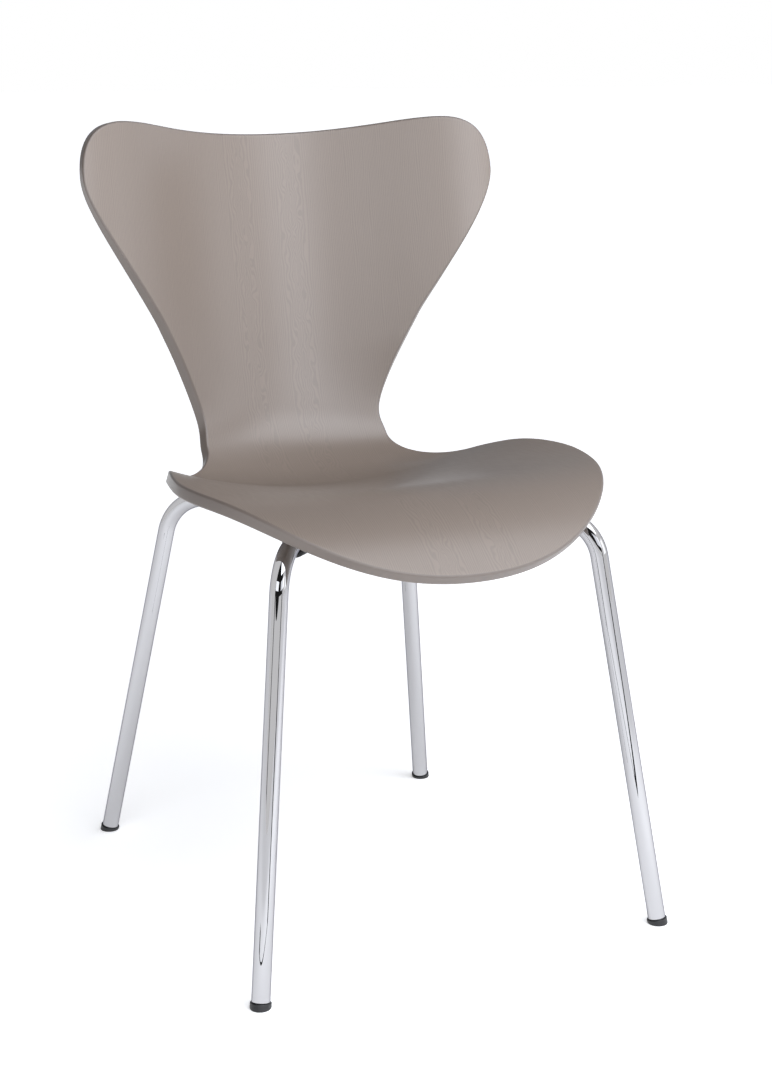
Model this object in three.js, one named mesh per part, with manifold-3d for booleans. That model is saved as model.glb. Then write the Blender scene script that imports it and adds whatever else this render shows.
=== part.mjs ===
// Stacking chair: a one-piece moulded plywood shell on four bent steel tube legs.
//
// Frame: millimetres, +Z up. The origin is on the floor, under the middle of the chair's bounding box.
// The sitter faces -Y, so the backrest is on the +Y side and the sitter's left hand is on the +X side.

import * as THREE from 'three';
import { mergeGeometries, mergeVertices } from 'three/addons/utils/BufferGeometryUtils.js';
import Module from 'manifold-3d';

const wasm = await Module();
wasm.setup();

// ---------------------------------------------------------------- driving dimensions

const GAP = 0.3; // clearance between pieces that touch on the real chair
const OVERRUN = 1; // how far a cutting body runs past the faces that it cuts

// The shell starts as a flat blank. A place on it is (t, s): t is across, from the centre line, and s is
// along the centre line, from the front edge of the seat to the top edge of the back.
const SHELL = {
  thickness: 13.4,
  chamfer: 1.6,
  frontY: -269.2,
  frontZ: 398.5,
  length: 830,
};

// Direction of the centre line, in degrees above the horizontal, and how it bends along s.
const PROFILE_ANGLE = {
  start: 41.3,
  steps: [
    { from: 15, over: 172, by: -51.6 }, // the rolled front edge
    { from: 352, over: 183, by: 81 }, // seat to back
    { from: 478, over: 122, by: 8.5 }, // lumbar
  ],
};

// Curvature across the sheet at its centre line, per mm.
const CROSS_CURVATURE = {
  start: -0.0006,
  steps: [
    { from: 18, over: 300, by: 0.00195 },
    { from: 362, over: 226, by: 0.00445 },
  ],
};

// How far the cross section straightens towards its edges. Below zero it curls up more there.
const EDGE_EASING = {
  start: 0.16,
  steps: [
    { from: 200, over: 160, by: -0.86 },
    { from: 360, over: 140, by: 1.64 },
  ],
};
const EASING_HALF_WIDTH = 250;

// Half of the blank's outline, as points joined by cubic curves. heading is the outline's direction there,
// in degrees from the t axis. before and after are the lengths of the curve's handles.
const OUTLINE = [
  { name: 'nose', t: 0, s: 0, heading: 0, after: 174 },
  { name: 'seat side', t: 222, s: 223, heading: 90, before: 53, after: 37 },
  { name: 'rear lobe', t: 181, s: 357.5, heading: 121.5, before: 30, after: 31 },
  { name: 'waist', t: 109.5, s: 464, heading: 90, before: 35, after: 29 },
  { name: 'flare', t: 162, s: 607.5, heading: 57.4, before: 133, after: 29 },
  { name: 'ear', t: 258.5, s: 762, heading: 90, before: 43, after: 62 },
  { name: 'shoulder', t: 181.5, s: 822.5, heading: 180, before: 32, after: 31 },
  { name: 'top', t: 0, s: 817.5, heading: 180, before: 107 },
];

// The shell's mesh is a grid of this many cells. Its corners are at these shares of the outline's length.
const GRID = { across: 16, along: 36, frontCorner: 0.17, topCorner: 0.83 };

// Legs: a straight leg, a bend, and a run under the seat to the hub. The knee is where the leg's line and
// the run's line meet, and hubDrop is how far below the sheet the run meets the hub's axis.
const TUBE = { radius: 9, wall: 2, sides: 16, bendSteps: 8, hubGap: 2.2 };
const LEGS = {
  front: { footX: 220.5, footY: -247.7, kneeX: 168.8, kneeY: -187.6, kneeZ: 420.6, bend: 45, hubDrop: 20 },
  rear: { footX: 200.5, footY: 249.6, kneeX: 139.2, kneeY: 177, kneeZ: 403.4, bend: 53.5, hubDrop: 26.5 },
};
const SIDES = { right: -1, left: 1 };

// Foot cap: a disc under the tube's end, with a spigot up its bore.
const CAP = { radius: 10.4, height: 6, spigotRadius: 6.7, spigotLength: 20, chamfer: 1 };

// Everything at the hub is placed from the sheet's underside, HUB_S along the centre line.
const HUB_S = 308;
const PLATE = { radius: 58, thickness: 3, drop: 0.5, holeRadius: 3.4 };
const HUB = { radius: 23, height: 32.5, chamfer: 1.5, boreRadius: 2.8, boreDepth: 18 };
const SCREW_CIRCLE = 43;
const SEAT_SCREW = { shankRadius: 2.7, headRadius: 5.5, headHeight: 3.6, socketRadius: 2.3, reach: 7.5 };
const WASHER = { radius: 6.6, thickness: 1.2, boreRadius: 3.1 };
const INSERT = { radius: 4.7, boreRadius: 3.1, bottom: 1, top: 9, pocketRadius: 5, pocketTop: 9.4 };
const COVER = { radius: 66, wall: 2.2, rim: -2, floor: -41.5, corner: 12, notch: 10.2, holeRadius: 2.9 };
const COVER_SCREW = { shankRadius: 2.5, headRadius: 5, headHeight: 2.6, socketRadius: 2.1, reach: 15 };
const SCREW_DETAIL = { headChamfer: 1.4, tipChamfer: 1, socketDepth: 0.6 }; // depth as a share of the head

// Rubber spacers: a sleeve on each run, just past the bend, with a pad up to the sheet.
const SPACER = { sleeveRadius: 12.4, sleeveLength: 24, pastBend: 15, padRadius: 9.5, padClearance: 0.9 };

// ---------------------------------------------------------------- materials

const painted = new THREE.MeshStandardMaterial({ color: 0x9c928f, roughness: 0.45, metalness: 0 });
const chrome = new THREE.MeshStandardMaterial({ color: 0xd6d6db, roughness: 0.08, metalness: 1 });
const steel = new THREE.MeshStandardMaterial({ color: 0xa9abad, roughness: 0.35, metalness: 1 });
const blackPlastic = new THREE.MeshStandardMaterial({ color: 0x1a1a1b, roughness: 0.5, metalness: 0 });
const rubber = new THREE.MeshStandardMaterial({ color: 0x202021, roughness: 0.8, metalness: 0 });
const brass = new THREE.MeshStandardMaterial({ color: 0xb99a55, roughness: 0.35, metalness: 1 });

// ---------------------------------------------------------------- solids

// A closed geometry as a manifold solid: corners are merged by place alone.
function solid(geometry) {
  const bare = geometry.clone();
  bare.deleteAttribute('normal');
  bare.deleteAttribute('uv');
  const merged = mergeVertices(bare, 1e-4);
  const vertProperties = Float32Array.from(merged.attributes.position.array);
  const triVerts = Uint32Array.from(merged.index.array);
  return new wasm.Manifold(new wasm.Mesh({ numProp: 3, vertProperties, triVerts }));
}

function geometryOf(body) {
  const mesh = body.getMesh();
  const geometry = new THREE.BufferGeometry();
  geometry.setAttribute('position', new THREE.BufferAttribute(Float32Array.from(mesh.vertProperties), 3));
  geometry.setIndex(new THREE.BufferAttribute(Uint32Array.from(mesh.triVerts), 1));
  const faceted = geometry.toNonIndexed();
  faceted.computeVertexNormals();
  return faceted;
}

// A round body about the Z axis, from [radius, z] corners that start and end on the axis.
function turned(corners, segments = 20) {
  const profile = corners.map(([radius, z]) => new THREE.Vector2(radius, z));
  return new THREE.LatheGeometry(profile, segments).rotateX(Math.PI / 2);
}

function disc(radius, bottom, top, segments = 20) {
  return turned([[0, bottom], [radius, bottom], [radius, top], [0, top]], segments);
}

// A ring about the Z axis, closed on itself.
function ring(outer, inner, bottom, top, segments = 16) {
  return turned([[inner, bottom], [outer, bottom], [outer, top], [inner, top], [inner, bottom]], segments);
}

// Turns a body made about +Z so that +Z points along direction, with its z = 0 at place.
function aimed(geometry, place, direction) {
  const turn = new THREE.Quaternion().setFromUnitVectors(new THREE.Vector3(0, 0, 1), direction);
  return geometry.clone().applyQuaternion(turn).translate(place.x, place.y, place.z);
}

// ---------------------------------------------------------------- the sheet

function smoothstep(x) {
  const share = Math.min(Math.max(x, 0), 1);
  return share * share * (3 - 2 * share);
}

function eased({ start, steps }, s) {
  return steps.reduce((value, step) => value + step.by * smoothstep((s - step.from) / step.over), start);
}

function profileAngle(s) {
  return THREE.MathUtils.degToRad(eased(PROFILE_ANGLE, s));
}

// The centre line, added up a millimetre at a time.
const centreLine = [{ y: SHELL.frontY, z: SHELL.frontZ }];
for (let s = 0; s < SHELL.length; s += 1) {
  const angle = profileAngle(s + 0.5);
  const last = centreLine[s];
  centreLine.push({ y: last.y + Math.cos(angle), z: last.z + Math.sin(angle) });
}

function centrePoint(s) {
  const below = Math.floor(THREE.MathUtils.clamp(s, 0, SHELL.length - 1));
  const share = s - below;
  const a = centreLine[below];
  const b = centreLine[below + 1];
  return { y: a.y + (b.y - a.y) * share, z: a.z + (b.z - a.z) * share };
}

// Slope of the cross section, in radians, at t.
function crossSlope(t, s) {
  const straightening = 1 - eased(EDGE_EASING, s) * (t / EASING_HALF_WIDTH) ** 2;
  return eased(CROSS_CURVATURE, s) * t * straightening;
}

// A point of the sheet, depth below its sitting face.
function sheetPoint(t, s, depth = 0) {
  const panels = 8;
  let x = 0;
  let rise = 0;
  for (let i = 0; i < panels; i += 1) {
    const slope = crossSlope((t * (i + 0.5)) / panels, s);
    x += (Math.cos(slope) * t) / panels;
    rise += (Math.sin(slope) * t) / panels;
  }
  const edgeSlope = crossSlope(t, s);
  x += depth * Math.sin(edgeSlope);
  rise -= depth * Math.cos(edgeSlope);
  const centre = centrePoint(s);
  const angle = profileAngle(s);
  return new THREE.Vector3(x, centre.y - rise * Math.sin(angle), centre.z + rise * Math.cos(angle));
}

// Half of the outline, from the nose round the +t side to the middle of the top edge.
const halfOutline = new THREE.CurvePath();
for (let i = 1; i < OUTLINE.length; i += 1) {
  const [a, b] = [OUTLINE[i - 1], OUTLINE[i]];
  const [from, to] = [new THREE.Vector2(a.t, a.s), new THREE.Vector2(b.t, b.s)];
  const turnA = THREE.MathUtils.degToRad(a.heading);
  const turnB = THREE.MathUtils.degToRad(b.heading);
  const handleA = from.clone().addScaledVector(new THREE.Vector2(Math.cos(turnA), Math.sin(turnA)), a.after);
  const handleB = to.clone().addScaledVector(new THREE.Vector2(Math.cos(turnB), Math.sin(turnB)), -b.before);
  halfOutline.add(new THREE.CubicBezierCurve(from, handleA, handleB, to));
}

// The blank's outline at a share of its half length, on the +t side (side = 1) or the -t side (side = -1).
function outlinePoint(share, side, inset) {
  const place = halfOutline.getPoint(share);
  const tangent = halfOutline.getTangent(share);
  return { t: side * (place.x - inset * tangent.y), s: place.y + inset * tangent.x };
}

// The blank at grid place (column, row), each from 0 to 1: straight lines from side to side, which bow
// to meet the front edge and the top edge.
function blankPoint(column, row, inset) {
  const q = 2 * column - 1;
  const side = q < 0 ? -1 : 1;
  const { frontCorner, topCorner } = GRID;
  const edge = outlinePoint(frontCorner + (topCorner - frontCorner) * row, 1, inset);
  const bows = [
    { corner: frontCorner, share: frontCorner * Math.abs(q), weight: (1 - row) ** 2 },
    { corner: topCorner, share: 1 - (1 - topCorner) * Math.abs(q), weight: row ** 2 },
  ];
  let [t, s] = [edge.t * q, edge.s];
  for (const { corner, share, weight } of bows) {
    const end = outlinePoint(corner, 1, inset);
    const bow = outlinePoint(share, side, inset);
    t += weight * (bow.t - end.t * q);
    s += weight * (bow.s - end.s);
  }
  return { t, s };
}

function shellGeometry() {
  const { across, along } = GRID;
  const { thickness, chamfer } = SHELL;
  const positions = [];
  const triangle = (...corners) => corners.forEach((corner) => positions.push(...corner.toArray()));
  const quad = (a, b, c, d) => {
    triangle(a, b, c);
    triangle(a, c, d);
  };
  const at = (i, j, inset, depth) => {
    const { t, s } = blankPoint(i / across, j / along, inset);
    return sheetPoint(t, s, depth);
  };
  for (let i = 0; i < across; i += 1) {
    for (let j = 0; j < along; j += 1) {
      const corners = [[i, j], [i + 1, j], [i + 1, j + 1], [i, j + 1]];
      quad(...corners.map(([a, b]) => at(a, b, chamfer, 0)));
      quad(...corners.reverse().map(([a, b]) => at(a, b, chamfer, thickness)));
    }
  }
  // Round the edge, anticlockwise as seen from the sitter: front, left, top, right.
  const rim = [];
  for (let i = 0; i < across; i += 1) rim.push([i, 0]);
  for (let j = 0; j < along; j += 1) rim.push([across, j]);
  for (let i = across; i > 0; i -= 1) rim.push([i, along]);
  for (let j = along; j > 0; j -= 1) rim.push([0, j]);
  const bands = [[chamfer, 0], [0, chamfer], [0, thickness - chamfer], [chamfer, thickness]];
  rim.forEach(([i, j], index) => {
    const [nextI, nextJ] = rim[(index + 1) % rim.length];
    for (let band = 1; band < bands.length; band += 1) {
      const [upper, lower] = [bands[band - 1], bands[band]];
      quad(at(i, j, ...lower), at(nextI, nextJ, ...lower), at(nextI, nextJ, ...upper), at(i, j, ...upper));
    }
  });
  const geometry = new THREE.BufferGeometry();
  geometry.setAttribute('position', new THREE.Float32BufferAttribute(positions, 3));
  return mergeVertices(geometry, 1e-3);
}

// The point of the sheet's underside straight above or below (x, y), and its normal, by Newton's method.
function undersideOver(x, y) {
  let [t, s] = [x, y - SHELL.frontY];
  const step = 0.5;
  const result = { place: null, normal: null };
  for (let round = 0; round < 12; round += 1) {
    const place = sheetPoint(t, s, SHELL.thickness);
    const byT = sheetPoint(t + step, s, SHELL.thickness).sub(place).divideScalar(step);
    const byS = sheetPoint(t, s + step, SHELL.thickness).sub(place).divideScalar(step);
    const determinant = byT.x * byS.y - byT.y * byS.x;
    const [missX, missY] = [x - place.x, y - place.y];
    t += (missX * byS.y - missY * byS.x) / determinant;
    s += (missY * byT.x - missX * byT.y) / determinant;
    result.place = place;
    result.normal = byT.cross(byS).normalize();
  }
  return result;
}

// ---------------------------------------------------------------- legs

// The centre line of one leg: straight up from the floor, round the bend, and along the run to the hub.
// Its parameter moves a step at a time, so that the straight stretches take one step each.
class LegPath extends THREE.Curve {
  constructor(floor, knee, hubEnd, bendRadius, startHeight) {
    super();
    const up = knee.clone().sub(floor).normalize();
    const inward = hubEnd.clone().sub(knee).normalize();
    this.turn = up.angleTo(inward);
    const setback = bendRadius * Math.tan(this.turn / 2);
    this.radius = bendRadius;
    this.up = up;
    this.inward = inward;
    this.start = floor.clone().addScaledVector(up, startHeight);
    this.bendStart = knee.clone().addScaledVector(up, -setback);
    this.bendEnd = knee.clone().addScaledVector(inward, setback);
    this.end = hubEnd;
    const sideways = inward.clone().addScaledVector(up, -inward.dot(up)).normalize();
    this.centre = this.bendStart.clone().addScaledVector(sideways, bendRadius);
    this.toStart = sideways.negate();
    this.steps = TUBE.bendSteps + 2;
  }

  getPoint(share, target = new THREE.Vector3()) {
    const place = share * this.steps;
    if (place <= 1) return target.lerpVectors(this.start, this.bendStart, place);
    if (place >= this.steps - 1) return target.lerpVectors(this.bendEnd, this.end, place - this.steps + 1);
    const angle = (this.turn * (place - 1)) / TUBE.bendSteps;
    target.copy(this.centre).addScaledVector(this.toStart, this.radius * Math.cos(angle));
    return target.addScaledVector(this.up, this.radius * Math.sin(angle));
  }

  getPointAt(share, target) {
    return this.getPoint(share, target);
  }

  getTangentAt(share, target) {
    return this.getTangent(share, target);
  }
}

function legPath(leg, side) {
  const floor = new THREE.Vector3(side * leg.footX, leg.footY, 0);
  const knee = new THREE.Vector3(side * leg.kneeX, leg.kneeY, leg.kneeZ);
  const hubAxis = hubGroup.localToWorld(new THREE.Vector3(0, 0, -leg.hubDrop));
  const outward = knee.clone().sub(hubAxis).normalize();
  const hubEnd = hubAxis.addScaledVector(outward, HUB.radius + TUBE.hubGap);
  return new LegPath(floor, knee, hubEnd, leg.bend, CAP.height + GAP);
}

function tubeGeometry(path) {
  const section = new THREE.Shape().absarc(0, 0, TUBE.radius, 0, 2 * Math.PI);
  section.holes.push(new THREE.Path().absarc(0, 0, TUBE.radius - TUBE.wall, 0, 2 * Math.PI, true));
  return new THREE.ExtrudeGeometry(section, {
    extrudePath: path,
    steps: path.steps,
    curveSegments: TUBE.sides / 2,
    bevelEnabled: false,
  });
}

// The cap stands square to its leg, and its underside is cut level with the floor.
function capGeometry(leg, side) {
  const floor = new THREE.Vector3(side * leg.footX, leg.footY, 0);
  const knee = new THREE.Vector3(side * leg.kneeX, leg.kneeY, leg.kneeZ);
  const up = knee.sub(floor).normalize();
  const spigotTop = CAP.height + CAP.spigotLength;
  const blank = turned([
    [0, -CAP.height], [CAP.radius, -CAP.height], [CAP.radius, CAP.height - CAP.chamfer],
    [CAP.radius - CAP.chamfer, CAP.height], [CAP.spigotRadius, CAP.height],
    [CAP.spigotRadius, spigotTop - CAP.chamfer], [CAP.spigotRadius - CAP.chamfer, spigotTop], [0, spigotTop],
  ]);
  const tall = 2 * spigotTop;
  const aboveFloor = new THREE.BoxGeometry(tall, tall, tall).translate(floor.x, floor.y, tall / 2);
  return geometryOf(solid(aimed(blank, floor, up)).intersect(solid(aboveFloor)));
}

function spacerGeometry(path) {
  const place = path.bendEnd.clone().addScaledVector(path.inward, SPACER.pastBend);
  const half = SPACER.sleeveLength / 2;
  const sleeve = aimed(disc(SPACER.sleeveRadius, -half, half), place, path.inward);
  // The bore runs on past the sleeve, to clear the leaning pad off the tube too.
  const bore = aimed(disc(TUBE.radius + GAP, -3 * half, 3 * half), place, path.inward);
  const { place: top, normal } = undersideOver(place.x, place.y);
  const height = top.distanceTo(place) - SPACER.padClearance;
  top.addScaledVector(normal, -SPACER.padClearance);
  const pad = aimed(disc(SPACER.padRadius, -height, 0), top, normal);
  return geometryOf(solid(sleeve).add(solid(pad)).subtract(solid(bore)));
}

// ---------------------------------------------------------------- hub, plate, cover and screws

// Hub pieces are made about +Z, square to the sheet, with z = 0 on the sheet's underside.
const hubPlace = sheetPoint(0, HUB_S, SHELL.thickness);
const hubGroup = new THREE.Group();
hubGroup.position.copy(hubPlace);
hubGroup.rotation.x = profileAngle(HUB_S);
hubGroup.updateMatrixWorld();

const screwPlaces = {
  front: [0, -SCREW_CIRCLE],
  rear: [0, SCREW_CIRCLE],
  left: [SCREW_CIRCLE, 0],
  right: [-SCREW_CIRCLE, 0],
};

const plateTop = -PLATE.drop;
const plateBottom = plateTop - PLATE.thickness;

function plateGeometry() {
  let plate = solid(disc(PLATE.radius, plateBottom, plateTop, 36));
  for (const [x, y] of Object.values(screwPlaces)) {
    const hole = disc(PLATE.holeRadius, plateBottom - OVERRUN, plateTop + OVERRUN, 16);
    hole.translate(x, y, 0);
    plate = plate.subtract(solid(hole));
  }
  return geometryOf(plate);
}

function hubGeometry() {
  const top = plateBottom - GAP;
  const bottom = top - HUB.height;
  return turned([
    [0, bottom + HUB.boreDepth], [HUB.boreRadius, bottom + HUB.boreDepth], [HUB.boreRadius, bottom],
    [HUB.radius - HUB.chamfer, bottom], [HUB.radius, bottom + HUB.chamfer], [HUB.radius, top], [0, top],
  ], 28);
}

function washerGeometry() {
  const top = plateBottom - GAP;
  return ring(WASHER.radius, WASHER.boreRadius, top - WASHER.thickness, top);
}

// A pan head screw, driven upwards, with its head against z = seat and its tip at z = tip.
function screwGeometry({ shankRadius, headRadius, headHeight, socketRadius }, seat, tip) {
  const bottom = seat - headHeight;
  const { headChamfer, tipChamfer, socketDepth } = SCREW_DETAIL;
  const body = solid(turned([
    [0, bottom], [headRadius - headChamfer, bottom], [headRadius, bottom + headChamfer], [headRadius, seat],
    [shankRadius, seat], [shankRadius, tip - tipChamfer], [shankRadius - tipChamfer, tip], [0, tip],
  ], 14));
  const socket = disc(socketRadius, bottom - OVERRUN, bottom + headHeight * socketDepth, 6);
  return geometryOf(body.subtract(solid(socket)));
}

function insertGeometry() {
  return ring(INSERT.radius, INSERT.boreRadius, INSERT.bottom, INSERT.top);
}

// A shallow bowl with a notch for each run, open to the rim so that it goes on from below.
function coverGeometry(paths) {
  const { radius, wall, rim, floor, corner } = COVER;
  const outer = [[0, floor]];
  const inner = [];
  const turns = 3;
  for (let i = 0; i <= turns; i += 1) {
    const angle = (i / turns) * (Math.PI / 2);
    const [across, up] = [Math.sin(angle), 1 - Math.cos(angle)];
    outer.push([radius - corner + corner * across, floor + corner * up]);
    const bend = corner - wall;
    inner.unshift([radius - corner + bend * across, floor + wall + bend * up]);
  }
  const profile = [...outer, [radius, rim], [radius - wall, rim], ...inner, [0, floor + wall]];
  let cover = solid(turned(profile, 32));
  cover = cover.subtract(solid(disc(COVER.holeRadius, floor - OVERRUN, floor + wall + OVERRUN, 14)));
  const toHub = hubGroup.matrixWorld.clone().invert();
  for (const path of paths) {
    const end = path.end.clone().applyMatrix4(toHub);
    const out = path.inward.clone().negate().transformDirection(toHub);
    const reach = 2 * radius;
    const round = aimed(disc(COVER.notch, 0, reach, 16), end, out);
    const slot = new THREE.BoxGeometry(reach, 2 * COVER.notch, reach).translate(reach / 2, 0, reach / 2);
    const pitch = -Math.asin(out.z);
    slot.rotateY(pitch).rotateZ(Math.atan2(out.y, out.x)).translate(end.x, end.y, end.z);
    cover = cover.subtract(solid(round)).subtract(solid(slot));
  }
  return geometryOf(cover);
}

// ---------------------------------------------------------------- the chair

const chair = new THREE.Group();
chair.add(hubGroup);

function addPiece(parent, name, geometry, material) {
  const mesh = new THREE.Mesh(geometry, material.clone());
  mesh.name = name;
  parent.add(mesh);
}

// The shell, with a blind pocket for each threaded insert.
let shell = solid(shellGeometry());
for (const [x, y] of Object.values(screwPlaces)) {
  const pocket = disc(INSERT.pocketRadius, -OVERRUN, INSERT.pocketTop, 16).translate(x, y, 0);
  shell = shell.subtract(solid(pocket.applyMatrix4(hubGroup.matrixWorld)));
}
addPiece(chair, 'plywood_shell', geometryOf(shell), painted);

const paths = [];
for (const [end, leg] of Object.entries(LEGS)) {
  for (const [hand, side] of Object.entries(SIDES)) {
    const path = legPath(leg, side);
    paths.push(path);
    addPiece(chair, `leg_tube_${end}_${hand}`, tubeGeometry(path), chrome);
    addPiece(chair, `foot_cap_${end}_${hand}`, capGeometry(leg, side), blackPlastic);
    addPiece(chair, `spacer_${end}_${hand}`, spacerGeometry(path), rubber);
  }
}

addPiece(hubGroup, 'mounting_plate', plateGeometry(), steel);
addPiece(hubGroup, 'leg_hub', hubGeometry(), steel);
addPiece(hubGroup, 'centre_cover', coverGeometry(paths), blackPlastic);
const coverScrew = screwGeometry(COVER_SCREW, COVER.floor - GAP, COVER.floor + COVER_SCREW.reach);
addPiece(hubGroup, 'cover_screw', coverScrew, steel);

const screwSeat = plateBottom - WASHER.thickness - 2 * GAP;
for (const [where, [x, y]] of Object.entries(screwPlaces)) {
  const screw = screwGeometry(SEAT_SCREW, screwSeat, SEAT_SCREW.reach).translate(x, y, 0);
  addPiece(hubGroup, `seat_screw_${where}`, screw, steel);
  addPiece(hubGroup, `washer_${where}`, washerGeometry().translate(x, y, 0), steel);
  addPiece(hubGroup, `threaded_insert_${where}`, insertGeometry().translate(x, y, 0), brass);
}

export default chair;
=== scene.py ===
"""Stacking chair: the visible surfaces and finishes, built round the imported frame.

Metres, in the part's own frame: +Z up, the sitter faces -Y, and the floor is z = 0.
"""

import math

import bmesh
import bpy
import numpy as np
from mathutils import Matrix, Vector


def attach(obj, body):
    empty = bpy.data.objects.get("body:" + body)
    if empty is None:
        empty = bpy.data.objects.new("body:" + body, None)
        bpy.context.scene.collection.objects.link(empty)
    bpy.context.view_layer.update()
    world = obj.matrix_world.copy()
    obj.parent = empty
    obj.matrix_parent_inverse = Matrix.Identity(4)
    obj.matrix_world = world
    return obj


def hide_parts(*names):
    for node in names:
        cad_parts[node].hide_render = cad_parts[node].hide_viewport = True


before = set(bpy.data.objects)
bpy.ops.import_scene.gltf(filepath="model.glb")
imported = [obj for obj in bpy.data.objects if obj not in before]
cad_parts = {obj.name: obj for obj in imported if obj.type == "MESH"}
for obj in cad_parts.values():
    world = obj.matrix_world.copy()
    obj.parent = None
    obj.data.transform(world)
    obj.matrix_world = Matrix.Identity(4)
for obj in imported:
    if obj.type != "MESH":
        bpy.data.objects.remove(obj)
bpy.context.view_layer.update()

# ---------------------------------------------------------------- driving dimensions

MM = 0.001

# Where the camera stands, as angles and a distance from what it looks at.
VIEW = {"azimuth": -26.063, "elevation": 13.398, "distance": 2.1412, "lens": 68.76}
VIEW_TARGET = Vector((0.01996, -0.0232, 0.3769))

# The shell is a bent sheet. A place on its flat blank is (t, s): t across, from the centre line, and s along
# the centre line, from the front edge of the seat to the top edge of the back.
SHELL = {
    "thickness": 13.4 * MM,
    "arris": 2.3 * MM,
    "front_y": -269.2 * MM,
    "front_z": 398.5 * MM,
    "length": 0.83,
}

# Each bending rule is a start value, and steps of (from, over, by) along s.
PROFILE_ANGLE = (41.3, [(0.015, 0.172, -51.6), (0.352, 0.183, 81), (0.478, 0.122, 8.5)])
CROSS_CURVATURE = (-0.6, [(0.018, 0.3, 1.95), (0.362, 0.226, 4.45)])
EDGE_EASING = (0.16, [(0.2, 0.16, -0.86), (0.36, 0.14, 1.64)])
EASING_HALF_WIDTH = 0.25

# Half of the blank's outline in millimetres: t, s, heading in degrees, and the curve's handles before and
# after.
OUTLINE = [
    (0, 0, 0, 0, 174),  # nose
    (222, 223, 90, 53, 37),  # seat side
    (181, 357.5, 121.5, 30, 31),  # rear lobe
    (109.5, 464, 90, 35, 29),  # waist
    (162, 607.5, 57.4, 133, 29),  # flare
    (258.5, 762, 90, 43, 62),  # ear
    (181.5, 822.5, 180, 32, 31),  # shoulder
    (0, 817.5, 180, 107, 0),  # top
]
GRID = {"across": 84, "along": 210, "front_corner": 0.17, "top_corner": 0.83}

# The hub's gap keeps each tube clear of the drum, as a solid of its own.
TUBE = {"radius": 9 * MM, "wall": 2 * MM, "hub_gap": 2.2 * MM, "end_round": 0.4 * MM}
LEGS = {
    "front": {"foot": (220.5, -247.7), "knee": (168.8, -187.6, 420.6), "bend": 45, "hub_drop": 20},
    "rear": {"foot": (200.5, 249.6), "knee": (139.2, 177, 403.4), "bend": 53.5, "hub_drop": 26.5},
}
SIDES = {"right": -1, "left": 1}

# The hub's axis stands square to the sheet at this s. The seat screws are in a ring round it.
HUB_S = 0.308
HUB_RADIUS = 23 * MM
SCREW_CIRCLE = 43 * MM
POCKET = {"radius": 5 * MM, "depth": 9.4 * MM}

BODY = "root"


# ---------------------------------------------------------------- camera


def direction(azimuth, elevation):
    """A direction from the chair: azimuth 0 is ahead of the sitter, 90 is the sitter's left."""
    around, up = math.radians(azimuth), math.radians(elevation)
    return Vector((math.sin(around) * math.cos(up), -math.cos(around) * math.cos(up), math.sin(up)))


def make_camera():
    back = direction(VIEW["azimuth"], VIEW["elevation"])
    data = bpy.data.cameras.new("camera")
    data.lens = VIEW["lens"]
    data.clip_end = 100
    camera = bpy.data.objects.new("camera", data)
    bpy.context.scene.collection.objects.link(camera)
    camera.location = VIEW_TARGET + back * VIEW["distance"]
    camera.rotation_mode = "QUATERNION"
    camera.rotation_quaternion = (-back).to_track_quat("-Z", "Y")
    bpy.context.scene.camera = camera


make_camera()


# ---------------------------------------------------------------- meshes


def mesh_object(name, vertices, faces, place=None):
    """A smooth-shaded mesh object from corner places and faces, with its place in the mesh itself."""
    mesh = bpy.data.meshes.new(name)
    mesh.from_pydata([tuple(v) for v in vertices], [], [tuple(int(i) for i in f) for f in faces])
    if place is not None:
        mesh.transform(place)
    mesh.polygons.foreach_set("use_smooth", [True] * len(mesh.polygons))
    mesh.update()
    made = bpy.data.objects.new(name, mesh)
    bpy.context.scene.collection.objects.link(made)
    return made


def apply_modifiers(made):
    """Puts what the object's modifiers make into its mesh."""
    bpy.context.view_layer.update()
    graph = bpy.context.evaluated_depsgraph_get()
    evaluated = made.evaluated_get(graph)
    mesh = bpy.data.meshes.new_from_object(evaluated, preserve_all_data_layers=True, depsgraph=graph)
    made.modifiers.clear()
    made.data = mesh
    return made


def cut(made, cutters, operation="DIFFERENCE"):
    """Cuts each cutter from an object, or joins it on, and removes the cutter."""
    for cutter in cutters:
        modifier = made.modifiers.new("cut", "BOOLEAN")
        modifier.operation = operation
        modifier.solver = "EXACT"
        modifier.object = cutter
        apply_modifiers(made)
        bpy.data.objects.remove(cutter)
    return made


SHARP_ANGLE = 50


def soften(made, width, segments=3, angle=30):
    """Rounds the edges that are sharper than the angle, and shades the result by face area."""
    if width:
        bevel = made.modifiers.new("bevel", "BEVEL")
        bevel.width = width
        bevel.segments = segments
        bevel.limit_method = "ANGLE"
        bevel.angle_limit = math.radians(angle)
        bevel.use_clamp_overlap = True
    apply_modifiers(made)
    made.data.polygons.foreach_set("use_smooth", [True] * len(made.data.polygons))
    made.data.set_sharp_from_angle(angle=math.radians(SHARP_ANGLE))
    weighted = made.modifiers.new("normals", "WEIGHTED_NORMAL")
    weighted.keep_sharp = True
    return apply_modifiers(made)


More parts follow.
